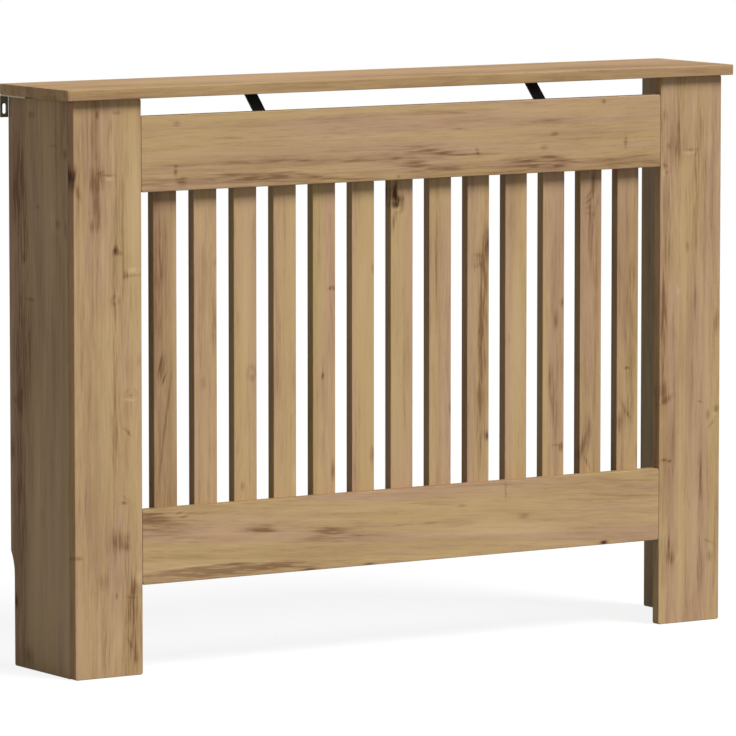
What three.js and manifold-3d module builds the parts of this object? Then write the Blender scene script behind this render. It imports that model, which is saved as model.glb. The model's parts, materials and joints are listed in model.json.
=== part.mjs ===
// A radiator cover cabinet that stands over a radiator, open at the back and at the floor.
// Two L-shaped legs, each a front board and a side panel, carry an overhanging top.
// Two rails join the legs, and upright slats behind the rails make the grille.
// Millimetres. X runs along the wall, Y towards the wall, Z up from the floor.
// The origin is on the floor, under the middle of the top.
import * as THREE from "three";
import { mergeVertices } from "three/addons/utils/BufferGeometryUtils.js";
import Module from "manifold-3d";

// ---- Driving dimensions -------------------------------------------------------------------

// The cabinet
const WIDTH = 1120; // the top, along the wall
const DEPTH = 190; // the top, from its front edge to the wall
const HEIGHT = 815; // floor to the top's upper face
const BOARD = 15; // thickness of the sheet that every panel, rail and slat is cut from
const OVERHANG = 14.5; // the top beyond each side panel's outer face
const SETBACK = 11; // the leg boards behind the top's front edge
const LEG_WIDTH = 108; // a leg's front board
const RAIL_HEIGHT = 105;
const TOP_GAP = 25; // the air slot between the top and the upper rail
const FLOOR_GAP = 125; // the air slot between the floor and the lower rail

// The grille
const SLAT_COUNT = 13;
const SLAT_WIDTH = 37.5;
const SLAT_END_GAP = 27.85; // the opening between a leg and the first slat
const SLAT_LAP = 70; // how far a slat reaches up, or down, behind a rail

// The notch that clears the room's skirting board
const SKIRTING_DEPTH = 10;
const SKIRTING_HEIGHT = 128; // the notch's straight part
const SKIRTING_RADIUS = 60; // the sweep from there out to the rear edge

// Edges and clearances
const EASE = 1; // rounding along every board's edges
const CORNER = 3; // rounding of a board's outline corners
const JOINT = 0.1; // hairline between two pieces that meet face to face
const FIT = 0.3; // round a piece in its bore

// Cam locks and their bolts
const CAM_BORE = 15; // diameter of the bore in the panel's face
const CAM_SKIN = 2.7; // board left behind a cam's bore
const CAM_SETBACK = 24; // from the panel's edge to the cam's axis
const BOLT_SHAFT = 6.4; // diameter of the bolt inside the panel's edge
const BOLT_HEAD = 6.2; // diameter of the head that the cam grips
const BOLT_NECK = 3.8; // diameter behind that head
const BOLT_THREAD = 5.6; // diameter of the end screwed into the other board
const BOLT_SKIN = 3.5; // board left beyond that end
const TOP_CAM_INSET = 42; // the top's cams, from the side panel's front and rear edges
const LEG_CAM_LOW = 150; // the legs' lower cams above the floor
const LEG_CAM_HIGH = 150; // the legs' upper cams below the top
const RAIL_CAM_INSET = 18; // a rail's cam from its edge beyond the slats

// Dowels in the rails' ends
const DOWEL = 8;
const DOWEL_LENGTH = 30;
const RAIL_DOWEL_INSET = 30; // from a rail's edge on the slats' side

// Steel strip and its screws
const STRIP = 2; // thickness of the brackets and braces
const BEND = 1.5; // inside radius of their bends
const SCREW = 3.5;
const SCREW_HEAD = 7;
const SCREW_LENGTH = 12;
const BRACKET_MARGIN = 1; // a wall bracket from the side panel and from the top's end
const BRACKET_REACH = 71; // its leg under the top
const BRACKET_DROP = 32; // its leg on the wall
const BRACKET_SLOT = 5.7; // width of the slot for the wall's screw
const BRACKET_SLOT_LENGTH = 14.8;
const BRACKET_SLOT_DROP = 20; // from the top's underside to the slot's middle
const BRACKET_SCREW_INSET = 14; // from the ends of the leg under the top
const BRACE_WIDTH = 20;
const BRACE_OFFSET = 236.3; // each brace's middle from the cabinet's middle
const BRACE_FLANGE = 22; // its two flat ends
const BRACE_LOW = 1.5; // its lower bend below the upper rail's top edge
const SLAT_SCREW = 3.5;
const SLAT_SCREW_DEPTH = 10; // into the rail

// ---- Places worked out from them ----------------------------------------------------------

const TOP_UNDERSIDE = HEIGHT - BOARD;
const WALL = DEPTH / 2;
const LEG_FRONT = -DEPTH / 2 + SETBACK;
const LEG_REAR = LEG_FRONT + BOARD;
const PANEL_OUTER = WIDTH / 2 - OVERHANG;
const PANEL_INNER = PANEL_OUTER - BOARD;
const LEG_INNER = PANEL_OUTER - LEG_WIDTH;
const UPRIGHT = TOP_UNDERSIDE - JOINT; // height of the leg boards and side panels
const UPPER_RAIL_TOP = TOP_UNDERSIDE - TOP_GAP;
const UPPER_RAIL_BOTTOM = UPPER_RAIL_TOP - RAIL_HEIGHT;
const LOWER_RAIL_TOP = FLOOR_GAP + RAIL_HEIGHT;
const SLAT_TOP = UPPER_RAIL_BOTTOM + SLAT_LAP;
const SLAT_BOTTOM = LOWER_RAIL_TOP - SLAT_LAP;
const SLAT_PITCH = (2 * (LEG_INNER - SLAT_END_GAP) - SLAT_WIDTH) / (SLAT_COUNT - 1);

// ---- How finely round things are faceted --------------------------------------------------

const EASE_STEPS = 2; // along an eased edge
const CAM_SIDES = 16;
const PIN_SIDES = 8; // bolts, dowels and their bores
const SCREW_SIDES = 10;
const PILOT_SIDES = 6; // slat screw holes
const ARC_STEP = THREE.MathUtils.degToRad(27); // within a cam
const BEND_STEPS = 3;

const QUARTER = Math.PI / 2;

// ---- Materials ----------------------------------------------------------------------------

const oakBoard = (tint) =>
  new THREE.MeshStandardMaterial({ color: tint, roughness: 0.55, metalness: 0, flatShading: true });
const zincPlate = () =>
  new THREE.MeshStandardMaterial({ color: "#b9b9b6", roughness: 0.35, metalness: 1, flatShading: true });
const blackSteel = () =>
  new THREE.MeshStandardMaterial({ color: "#1d1c1b", roughness: 0.5, metalness: 0.6, flatShading: true });
const greySteel = () =>
  new THREE.MeshStandardMaterial({ color: "#6b675f", roughness: 0.45, metalness: 0.8, flatShading: true });
const beech = () =>
  new THREE.MeshStandardMaterial({ color: "#c9a06c", roughness: 0.7, metalness: 0, flatShading: true });

// ---- Solids: joining and cutting ----------------------------------------------------------

const kernel = await Module();
kernel.setup();

function solidOf(geometry) {
  const bare = geometry.clone();
  bare.deleteAttribute("normal");
  bare.deleteAttribute("uv");
  const merged = mergeVertices(bare, 1e-4);
  const vertProperties = merged.getAttribute("position").array;
  const triVerts = new Uint32Array(merged.getIndex().array);
  return new kernel.Manifold(new kernel.Mesh({ numProp: 3, vertProperties, triVerts }));
}

function geometryOf(solid) {
  const { vertProperties, triVerts } = solid.getMesh();
  const geometry = new THREE.BufferGeometry();
  geometry.setAttribute("position", new THREE.BufferAttribute(vertProperties, 3));
  geometry.setIndex(new THREE.BufferAttribute(triVerts, 1));
  geometry.computeVertexNormals();
  return geometry;
}

// A geometry with others cut out of it.
function carve(geometry, ...tools) {
  const body = tools.reduce((rest, tool) => rest.subtract(solidOf(tool)), solidOf(geometry));
  return geometryOf(body);
}

// Cuts a tool, standing at its own place in the cabinet, out of a mesh at the mesh's place.
function drill(mesh, tool) {
  mesh.updateWorldMatrix(true, false);
  tool.updateWorldMatrix(true, false);
  const toMesh = mesh.matrixWorld.clone().invert().multiply(tool.matrixWorld);
  mesh.geometry = carve(mesh.geometry, tool.geometry.clone().applyMatrix4(toMesh));
}

// ---- Basic shapes -------------------------------------------------------------------------

// A turned piece about Z, from a profile of [radius, height] points that goes upwards.
function turned(profile, sides) {
  const points = profile.map(([radius, height]) => new THREE.Vector2(radius, height));
  return new THREE.LatheGeometry(points, sides).rotateX(QUARTER);
}

function rod(diameter, from, to, sides) {
  const radius = diameter / 2;
  return turned([[0, from], [radius, from], [radius, to], [0, to]], sides);
}

function roundedRectangle(width, height, radius) {
  const shape = new THREE.Shape();
  shape.absarc(width - radius, radius, radius, -QUARTER, 0);
  shape.absarc(width - radius, height - radius, radius, 0, QUARTER);
  shape.absarc(radius, height - radius, radius, QUARTER, 2 * QUARTER);
  shape.absarc(radius, radius, radius, 2 * QUARTER, 3 * QUARTER);
  return shape;
}

// A board cut to an outline, its faces at z = 0 and z = BOARD, with all its edges eased.
function boardOf(outline, curveSegments) {
  const geometry = new THREE.ExtrudeGeometry(outline, {
    depth: BOARD - 2 * EASE,
    bevelSize: EASE,
    bevelThickness: EASE,
    bevelOffset: -EASE,
    bevelSegments: EASE_STEPS,
    curveSegments,
  });
  return geometry.translate(0, 0, EASE);
}

function plainBoard(width, height) {
  return boardOf(roundedRectangle(width, height, Math.max(CORNER, EASE + JOINT)), 1);
}

// A ring's sector about Z, from z = low to z = high.
function ringSector(inner, outer, start, end, low, high) {
  const shape = new THREE.Shape();
  shape.absarc(0, 0, outer, start, end, false);
  shape.absarc(0, 0, inner, end, start, true);
  const curveSegments = Math.ceil((end - start) / ARC_STEP / 2);
  const options = { depth: high - low, bevelEnabled: false, curveSegments };
  return new THREE.ExtrudeGeometry(shape, options).translate(0, 0, low);
}

// The two arms of a cross-shaped driver recess, sunk into a face at z = 0.
function crossRecess({ span, width, depth }) {
  const arm = (x, y) => new THREE.BoxGeometry(x, y, 2 * depth);
  return [arm(span, width), arm(width, span)];
}

// A strip bent along corners [a, b] in a plane, as an outline of even thickness.
// The corners give the strip's middle line, and each bend gets an arc.
function bentStrip(corners, thickness, insideRadius) {
  const radius = insideRadius + thickness / 2;
  const points = corners.map(([a, b]) => new THREE.Vector2(a, b));
  const left = [];
  const right = [];
  const add = (at, along) => {
    const side = new THREE.Vector2(-along.y, along.x).multiplyScalar(thickness / 2);
    left.push(at.clone().add(side));
    right.unshift(at.clone().sub(side));
  };
  const direction = (i) => points[i + 1].clone().sub(points[i]).normalize();
  add(points[0], direction(0));
  for (let i = 1; i < points.length - 1; i++) {
    const before = direction(i - 1);
    const after = direction(i);
    const turn = Math.atan2(before.cross(after), before.dot(after));
    const trim = radius * Math.tan(Math.abs(turn) / 2);
    const start = points[i].clone().addScaledVector(before, -trim);
    const inward = new THREE.Vector2(-before.y, before.x).multiplyScalar(Math.sign(turn) * radius);
    const centre = start.clone().add(inward);
    for (let step = 0; step <= BEND_STEPS; step++) {
      const angle = (turn * step) / BEND_STEPS;
      const at = start.clone().rotateAround(centre, angle);
      add(at, before.clone().rotateAround(new THREE.Vector2(), angle));
    }
  }
  add(points.at(-1), direction(points.length - 2));
  return new THREE.Shape([...left, ...right]);
}

// ---- The cabinet's group and its boards ---------------------------------------------------

const cabinet = new THREE.Group();
cabinet.name = "radiator_cover";

function place(name, geometry, material, [x, y, z] = [0, 0, 0], [rx, ry, rz] = [0, 0, 0]) {
  const mesh = new THREE.Mesh(geometry, material);
  mesh.name = name;
  mesh.position.set(x, y, z);
  mesh.rotation.set(rx, ry, rz);
  cabinet.add(mesh);
  return mesh;
}

// An upright board seen from the front: its outline lies in X and Z, and y is its rear face.
function frontBoard(name, tint, width, height, left, y, bottom) {
  return place(name, plainBoard(width, height), oakBoard(tint), [left, y, bottom], [QUARTER, 0, 0]);
}

// A side panel's outline in Y and Z, with the skirting notch at its rear foot.
function sidePanelOutline() {
  const front = LEG_REAR + JOINT;
  const radius = Math.max(CORNER, EASE + JOINT);
  const foot = WALL - SKIRTING_DEPTH;
  const sweep = Math.acos(1 - SKIRTING_DEPTH / SKIRTING_RADIUS);
  const shape = new THREE.Shape();
  shape.absarc(foot - radius, radius, radius, -QUARTER, 0);
  shape.absarc(foot + SKIRTING_RADIUS, SKIRTING_HEIGHT, SKIRTING_RADIUS, Math.PI, Math.PI - sweep, true);
  shape.absarc(WALL - radius, UPRIGHT - radius, radius, 0, QUARTER);
  shape.absarc(front + radius, UPRIGHT - radius, radius, QUARTER, 2 * QUARTER);
  shape.absarc(front + radius, radius, radius, 2 * QUARTER, 3 * QUARTER);
  return shape;
}

function sidePanel(name, outerFace, tint) {
  const inwards = outerFace < 0 ? outerFace : outerFace - BOARD;
  return place(name, boardOf(sidePanelOutline(), 2), oakBoard(tint), [inwards, 0, 0], [QUARTER, QUARTER, 0]);
}

const topPanel = place("top_panel", plainBoard(WIDTH, DEPTH), oakBoard("#be9f7a"),
  [-WIDTH / 2, -DEPTH / 2, TOP_UNDERSIDE]);
const panels = {
  left: sidePanel("side_panel_left", -PANEL_OUTER, "#a88b68"),
  right: sidePanel("side_panel_right", PANEL_OUTER, "#a88b68"),
};
const legs = {
  left: frontBoard("leg_board_left", "#b29470", LEG_WIDTH, UPRIGHT, -PANEL_OUTER, LEG_REAR, 0),
  right: frontBoard("leg_board_right", "#b09170", LEG_WIDTH, UPRIGHT, LEG_INNER, LEG_REAR, 0),
};

const railLength = 2 * (LEG_INNER - JOINT);
const rail = (name, bottom) =>
  frontBoard(name, "#b4966d", railLength, RAIL_HEIGHT, -railLength / 2, LEG_REAR, bottom);
const rails = {
  upper: rail("upper_rail", UPPER_RAIL_BOTTOM),
  lower: rail("lower_rail", FLOOR_GAP),
};

const slatRear = LEG_REAR + JOINT + BOARD;
const slats = Array.from({ length: SLAT_COUNT }, (_, i) => {
  const name = "slat_" + String(i + 1).padStart(2, "0");
  const left = -LEG_INNER + SLAT_END_GAP + i * SLAT_PITCH;
  return frontBoard(name, "#b39572", SLAT_WIDTH, SLAT_TOP - SLAT_BOTTOM, left, slatRear, SLAT_BOTTOM);
});

// ---- Slat screws: each slat is drilled through, and the rails behind which it laps --------

function slatScrewHole(x, z) {
  const hole = new THREE.Mesh(rod(SLAT_SCREW + 2 * FIT, -BOARD - JOINT - SLAT_SCREW_DEPTH, FIT, PILOT_SIDES));
  hole.position.set(x, slatRear, z);
  hole.rotation.x = -QUARTER;
  return hole;
}

slats.forEach((slat) => {
  const x = slat.position.x + SLAT_WIDTH / 2;
  const upper = slatScrewHole(x, (UPPER_RAIL_BOTTOM + SLAT_TOP) / 2);
  const lower = slatScrewHole(x, (LOWER_RAIL_TOP + SLAT_BOTTOM) / 2);
  drill(slat, upper);
  drill(slat, lower);
  drill(rails.upper, upper);
  drill(rails.lower, lower);
});

// ---- Cam locks: a cam in one board's face grips a bolt that stands in the other board -----

// In a joint's own frame the cam's face is at z = 0 and its axis is Z. The bolt lies along X.
// The cam holds the bolt's head in a channel round its pillar. The neck passes through a slot,
// and the head goes in at the channel's mouth, which turns away as the cam is tightened.
const HEAD_CHANNEL = [-60, 200]; // degrees about the cam's axis, counted from the bolt
const NECK_SLOT = [-32, 200];
const CAM_MOUTH = [140, 200];
const CAM_BEVEL = 0.5;
const CAM_CROSS = { span: 7, width: 1.3, depth: 2 };
const degToRad = THREE.MathUtils.degToRad;
const camRadius = CAM_BORE / 2 - FIT;
const camDepth = BOARD - CAM_SKIN;
const boltDepth = BOARD / 2;
const threadLength = BOARD - BOLT_SKIN;
const headStart = 2.3; // from the cam's axis
const headEnd = headStart + BOLT_HEAD / 2;

function camLockGeometry() {
  const bottom = FIT - camDepth;
  const body = turned([
    [0, bottom], [camRadius - CAM_BEVEL, bottom], [camRadius, bottom + CAM_BEVEL], [camRadius, 0], [0, 0],
  ], CAM_SIDES);
  const headRoom = BOLT_HEAD / 2 + FIT;
  const neckRoom = BOLT_NECK / 2 + FIT;
  const pillar = headStart - FIT;
  const wall = headEnd + FIT;
  const outside = camRadius + FIT;
  const channel = (inner, outer, [from, to], half) =>
    ringSector(inner, outer, degToRad(from), degToRad(to), -boltDepth - half, -boltDepth + half);
  const headChannel = channel(pillar, wall, HEAD_CHANNEL, headRoom);
  const neckSlot = channel(wall - FIT, outside, NECK_SLOT, neckRoom);
  const mouth = channel(wall - FIT, outside, CAM_MOUTH, headRoom);
  return carve(body, headChannel, neckSlot, mouth, ...crossRecess(CAM_CROSS));
}

function camBoltGeometry() {
  const head = BOLT_HEAD / 2;
  const neck = BOLT_NECK / 2;
  const shaft = BOLT_SHAFT / 2;
  const thread = BOLT_THREAD / 2;
  const taper = 1; // along the bolt, where its diameter changes
  const neckEnd = CAM_BORE / 2 + taper;
  const threadStart = CAM_SETBACK - taper;
  const tip = CAM_SETBACK + threadLength - FIT;
  const profile = [
    [0, headStart], [head - taper, headStart], [head, headStart + taper], [neck, headEnd],
    [neck, neckEnd], [shaft, neckEnd + taper], [shaft, threadStart], [thread, threadStart],
    [thread, tip - taper], [thread - taper, tip], [0, tip],
  ];
  return turned(profile, PIN_SIDES).rotateY(QUARTER).translate(0, 0, -boltDepth);
}

const camLock = camLockGeometry();
const camBolt = camBoltGeometry();
const camBore = rod(CAM_BORE, -camDepth, FIT, CAM_SIDES);
const boltBore = rod(BOLT_SHAFT + 2 * FIT, headStart, CAM_SETBACK + 1, PIN_SIDES)
  .rotateY(QUARTER).translate(0, 0, -boltDepth);
const threadBore = rod(BOLT_THREAD + 2 * FIT, CAM_SETBACK - 1, CAM_SETBACK + threadLength, PIN_SIDES)
  .rotateY(QUARTER).translate(0, 0, -boltDepth);

// Joins a panel, whose face holds the cam, to the host board that the bolt is screwed into.
// at is the cam's centre on the panel's face, outwards is that face's normal.
function camJoint(name, panel, host, at, towardsHost, outwards) {
  const x = new THREE.Vector3(...towardsHost);
  const z = new THREE.Vector3(...outwards);
  const joint = new THREE.Group();
  joint.setRotationFromMatrix(new THREE.Matrix4().makeBasis(x, z.clone().cross(x), z));
  joint.position.set(...at);
  cabinet.add(joint);
  const member = (partName, geometry) => {
    const mesh = new THREE.Mesh(geometry, zincPlate());
    mesh.name = partName;
    joint.add(mesh);
    return mesh;
  };
  const bore = (board, geometry) => {
    const tool = new THREE.Mesh(geometry);
    joint.add(tool);
    drill(board, tool);
    joint.remove(tool);
  };
  bore(panel, camBore);
  bore(panel, boltBore);
  bore(host, threadBore);
  member("cam_lock_" + name, camLock);
  member("cam_bolt_" + name, camBolt);
}

const SIDES = [["left", -1], ["right", 1]];
const panelFront = LEG_REAR + JOINT;

// Top to side panels: bolts stand down from the top, near the panel's front and rear edges.
for (const [side, sign] of SIDES) {
  const inner = sign * PANEL_INNER;
  for (const [end, y] of [["front", panelFront + TOP_CAM_INSET], ["rear", WALL - TOP_CAM_INSET]]) {
    const at = [inner, y, UPRIGHT - CAM_SETBACK];
    camJoint("top_" + side + "_" + end, panels[side], topPanel, at, [0, 0, 1], [-sign, 0, 0]);
  }
}

// Leg boards to side panels: bolts stand back from the leg boards' rear faces.
for (const [side, sign] of SIDES) {
  const inner = sign * PANEL_INNER;
  for (const [end, z] of [["low", LEG_CAM_LOW], ["high", UPRIGHT - LEG_CAM_HIGH]]) {
    const at = [inner, panelFront + CAM_SETBACK, z];
    camJoint("leg_" + side + "_" + end, panels[side], legs[side], at, [0, -1, 0], [-sign, 0, 0]);
  }
}

// Rails to leg boards: bolts stand out of the leg boards' inner edges, with a dowel beside each.
const railJoints = {
  upper: [UPPER_RAIL_TOP - RAIL_CAM_INSET, UPPER_RAIL_BOTTOM + RAIL_DOWEL_INSET],
  lower: [FLOOR_GAP + RAIL_CAM_INSET, LOWER_RAIL_TOP - RAIL_DOWEL_INSET],
};
const dowelChamfer = 1;
const dowelHalf = DOWEL_LENGTH / 2;
const dowelGeometry = turned([
  [0, -dowelHalf], [DOWEL / 2 - dowelChamfer, -dowelHalf], [DOWEL / 2, dowelChamfer - dowelHalf],
  [DOWEL / 2, dowelHalf - dowelChamfer], [DOWEL / 2 - dowelChamfer, dowelHalf], [0, dowelHalf],
], PIN_SIDES);
const dowelBore = rod(DOWEL + 2 * FIT, -dowelHalf - FIT, dowelHalf + FIT, PIN_SIDES);

for (const [level, [camHeight, dowelHeight]] of Object.entries(railJoints)) {
  for (const [side, sign] of SIDES) {
    const end = sign * (LEG_INNER - JOINT);
    const at = [end - sign * CAM_SETBACK, LEG_REAR, camHeight];
    const name = "rail_" + level + "_" + side;
    camJoint(name, rails[level], legs[side], at, [sign, 0, 0], [0, 1, 0]);
    const dowel = place("dowel_" + name, dowelGeometry, beech(),
      [sign * LEG_INNER, LEG_REAR - BOARD / 2, dowelHeight], [0, QUARTER, 0]);
    const bore = dowel.clone();
    bore.geometry = dowelBore;
    drill(rails[level], bore);
    drill(legs[side], bore);
  }
}

// ---- Steel brackets and braces with their countersunk screws ------------------------------

const SCREW_LAND = 0.3; // the straight rim of a screw's head
const SCREW_CROSS = { span: 4, width: 1, depth: 1.4 };

// A countersunk screw, or with slack the hole for one. Its head's face is at z = 0.
function screwGeometry(slack, above) {
  const shank = SCREW / 2 + slack;
  const head = SCREW_HEAD / 2 + slack;
  const cone = SCREW_LAND + (SCREW_HEAD - SCREW) / 2;
  const tip = SCREW_LENGTH + slack;
  const profile = [
    [0, -tip], [shank, SCREW - tip], [shank, -cone], [head, -SCREW_LAND], [head, above], [0, above],
  ];
  return turned(profile, SCREW_SIDES);
}

const screw = carve(screwGeometry(0, 0), ...crossRecess(SCREW_CROSS));
const screwHole = screwGeometry(FIT, 1);

// Drives a screw through a strip into a board, its head's face at a point of the strip's face.
function drive(name, strip, board, at, rotation) {
  const mesh = place(name, screw, zincPlate(), at, rotation);
  const hole = mesh.clone();
  hole.geometry = screwHole;
  drill(strip, hole);
  drill(board, hole);
}

// A steel strip bent in the plane of Y and Z, its width centred on x.
function stripPiece(name, material, corners, width, x) {
  const options = { depth: width, bevelEnabled: false };
  const geometry = new THREE.ExtrudeGeometry(bentStrip(corners, STRIP, BEND), options);
  geometry.translate(0, 0, -width / 2);
  return place(name, geometry, material, [x, 0, 0], [QUARTER, QUARTER, 0]);
}

const stripTop = TOP_UNDERSIDE - JOINT;
const stripUnderside = stripTop - STRIP;
const HEAD_DOWN = [2 * QUARTER, 0, 0];
const HEAD_BACK = [-QUARTER, 0, 0];

// Wall brackets: one leg under the top's overhang, the other hangs down the wall with a slot.
const bracketWidth = OVERHANG - 2 * BRACKET_MARGIN;
const bracketMiddle = WIDTH / 2 - OVERHANG / 2;
const bracketFront = WALL - BRACKET_REACH;
const SLOT_END_RADIUS = 0.49 * BRACKET_SLOT;
for (const [side, sign] of SIDES) {
  const x = sign * bracketMiddle;
  const corners = [
    [bracketFront, stripTop - STRIP / 2],
    [WALL - STRIP / 2, stripTop - STRIP / 2],
    [WALL - STRIP / 2, TOP_UNDERSIDE - BRACKET_DROP],
  ];
  const bracket = stripPiece("wall_bracket_" + side, greySteel(), corners, bracketWidth, x);
  const slotShape = roundedRectangle(BRACKET_SLOT, BRACKET_SLOT_LENGTH, SLOT_END_RADIUS);
  const slotOptions = { depth: 3 * STRIP, bevelEnabled: false, curveSegments: 2 };
  const slot = new THREE.Mesh(new THREE.ExtrudeGeometry(slotShape, slotOptions));
  const slotBottom = TOP_UNDERSIDE - BRACKET_SLOT_DROP - BRACKET_SLOT_LENGTH / 2;
  slot.position.set(x - BRACKET_SLOT / 2, WALL + STRIP, slotBottom);
  slot.rotation.x = QUARTER;
  drill(bracket, slot);
  const screws = [["front", bracketFront + BRACKET_SCREW_INSET], ["rear", WALL - BRACKET_SCREW_INSET]];
  for (const [end, y] of screws)
    drive("screw_wall_bracket_" + side + "_" + end, bracket, topPanel, [x, y, stripUnderside], HEAD_DOWN);
}

// Top braces: flat on the upper rail's rear face, up at 45 degrees, then flat under the top.
const braceFront = LEG_REAR + JOINT + STRIP / 2;
const braceHeight = stripTop - STRIP / 2;
const lowBend = UPPER_RAIL_TOP - BRACE_LOW;
const highBend = braceFront + braceHeight - lowBend;
for (const [side, sign] of SIDES) {
  const x = sign * BRACE_OFFSET;
  const corners = [
    [braceFront, lowBend - BRACE_FLANGE],
    [braceFront, lowBend],
    [highBend, braceHeight],
    [highBend + BRACE_FLANGE, braceHeight],
  ];
  const brace = stripPiece("top_brace_" + side, blackSteel(), corners, BRACE_WIDTH, x);
  const flangeMiddle = BRACE_FLANGE / 2 + BEND / 2;
  drive("screw_top_brace_" + side + "_top", brace, topPanel,
    [x, highBend + flangeMiddle, stripUnderside], HEAD_DOWN);
  drive("screw_top_brace_" + side + "_rail", brace, rails.upper,
    [x, braceFront + STRIP / 2, lowBend - flangeMiddle], HEAD_BACK);
}

export default cabinet;
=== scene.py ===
# %% [markdown]
# # A slatted radiator cover, dressed in Blender
# The boards, fittings and bores of this cover come from its CAD model, which holds the true
# sizes. This lesson adds what the solids don't have: the oak decor, the metal finishes, the small
# screws, the light and the camera. Every piece stays where the CAD model says, in metres.

import json
import math
from collections import namedtuple

import bmesh
import bpy
from mathutils import Matrix, Vector


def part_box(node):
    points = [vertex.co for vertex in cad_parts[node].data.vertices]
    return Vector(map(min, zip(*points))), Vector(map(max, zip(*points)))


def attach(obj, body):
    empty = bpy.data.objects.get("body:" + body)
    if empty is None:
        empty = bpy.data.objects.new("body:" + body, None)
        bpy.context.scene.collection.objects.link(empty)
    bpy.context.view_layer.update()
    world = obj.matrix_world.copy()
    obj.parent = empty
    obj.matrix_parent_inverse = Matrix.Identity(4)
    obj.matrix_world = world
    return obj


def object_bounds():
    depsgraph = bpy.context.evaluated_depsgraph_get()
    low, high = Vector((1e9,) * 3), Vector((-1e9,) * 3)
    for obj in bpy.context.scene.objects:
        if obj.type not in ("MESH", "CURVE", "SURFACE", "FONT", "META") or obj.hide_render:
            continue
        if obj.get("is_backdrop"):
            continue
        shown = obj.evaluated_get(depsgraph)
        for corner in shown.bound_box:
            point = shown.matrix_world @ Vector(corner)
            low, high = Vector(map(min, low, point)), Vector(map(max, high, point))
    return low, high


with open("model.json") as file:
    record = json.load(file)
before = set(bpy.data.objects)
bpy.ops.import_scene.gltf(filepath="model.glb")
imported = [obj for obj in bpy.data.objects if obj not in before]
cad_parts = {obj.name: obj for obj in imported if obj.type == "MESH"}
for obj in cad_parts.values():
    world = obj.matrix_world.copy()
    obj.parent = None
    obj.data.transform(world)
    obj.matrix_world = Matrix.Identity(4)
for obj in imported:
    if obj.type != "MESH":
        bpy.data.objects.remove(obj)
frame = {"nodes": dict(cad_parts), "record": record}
nodes = frame["nodes"]
cad_low, cad_high = (list(corner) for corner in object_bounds())
MM = 0.001
print(len(nodes), "solids, box", [round(v, 4) for v in cad_low + cad_high])

# %% [markdown]
# ## Camera
# The cover was photographed from far away with a long lens, a little above its top and to its
# left, which keeps the perspective weak. Such a view could be set up by eye. Here the place, the
# turn and the focal length were worked out from the edges of the boards, because that is exact and
# needs no lens shift, which would skew every other view.

# %% Place the camera
CAMERA_PLACE = (-4.9164, -7.6104, 1.3617)
CAMERA_YAW = 32.796
CAMERA_PITCH = 6.093
FOCAL_LENGTH = 312.16
SENSOR_WIDTH = 36.0
NEAREST, FARTHEST = 0.1, 200.0

camera_data = bpy.data.cameras.new("camera")
camera_data.sensor_width = SENSOR_WIDTH
camera_data.lens = FOCAL_LENGTH
camera_data.clip_start = NEAREST
camera_data.clip_end = FARTHEST
camera = bpy.data.objects.new("camera", camera_data)
camera.location = CAMERA_PLACE
camera.rotation_euler = (
    math.radians(90.0 - CAMERA_PITCH),
    0.0,
    math.radians(-CAMERA_YAW),
)
bpy.context.scene.collection.objects.link(camera)
bpy.context.scene.camera = camera
bpy.context.scene.view_settings.view_transform = "Standard"
print("camera", CAMERA_PLACE, "lens", FOCAL_LENGTH, "mm")

# %% [markdown]
# ## Shader maths in Python
# A procedural finish is a sum of masks, stripes and noises. Wiring them by hand takes dozens of
# Math nodes, so one small class wraps a socket and lets Python's own operators add those nodes. A
# second class holds a node tree and adds every other node through one method.

# %% A socket that does arithmetic
class Signal:
    """One output socket. Its operators add Math nodes to the tree that it belongs to."""

    def __init__(self, graph, socket):
        self.graph = graph
        self.socket = socket

    def math(self, operation, *values):
        """A Math node on these values, in their order."""
        return self.graph.node("Math", {"operation": operation}, dict(enumerate(values)))

    def output(self, name):
        """Another output of the node that this socket belongs to."""
        return Signal(self.graph, self.socket.node.outputs[name])

    def __add__(self, other):
        return self.math("ADD", self, other)

    def __sub__(self, other):
        return self.math("SUBTRACT", self, other)

    def __mul__(self, other):
        return self.math("MULTIPLY", self, other)

    def __radd__(self, other):
        return self.math("ADD", other, self)

    def __rsub__(self, other):
        return self.math("SUBTRACT", other, self)

    def __rmul__(self, other):
        return self.math("MULTIPLY", other, self)

    def exponential(self):
        return self.math("EXPONENT", self)

    def size(self):
        """The value without its sign."""
        return self.math("ABSOLUTE", self)

    def largest(self, other):
        return self.math("MAXIMUM", self, other)

    def ramp(self, start, stop, low=0.0, high=1.0):
        """A smooth step from low at start to high at stop, which may lie below start."""
        settings = {"interpolation_type": "SMOOTHSTEP", "clamp": False}
        if start > stop:
            start, stop, low, high = stop, start, high, low
        limits = {"From Min": start, "From Max": stop, "To Min": low, "To Max": high}
        return self.graph.node("MapRange", settings, {"Value": self, **limits})


print("a Signal knows + - * and", [name for name in vars(Signal) if not name.startswith("_")])

# %% A node tree with one method for every node
# A Mix node has sockets for numbers, vectors and colours. These are the ones of its colours.
MIX_FACTOR, MIX_FIRST, MIX_SECOND, MIX_RESULT = 0, 6, 7, 2


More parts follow.
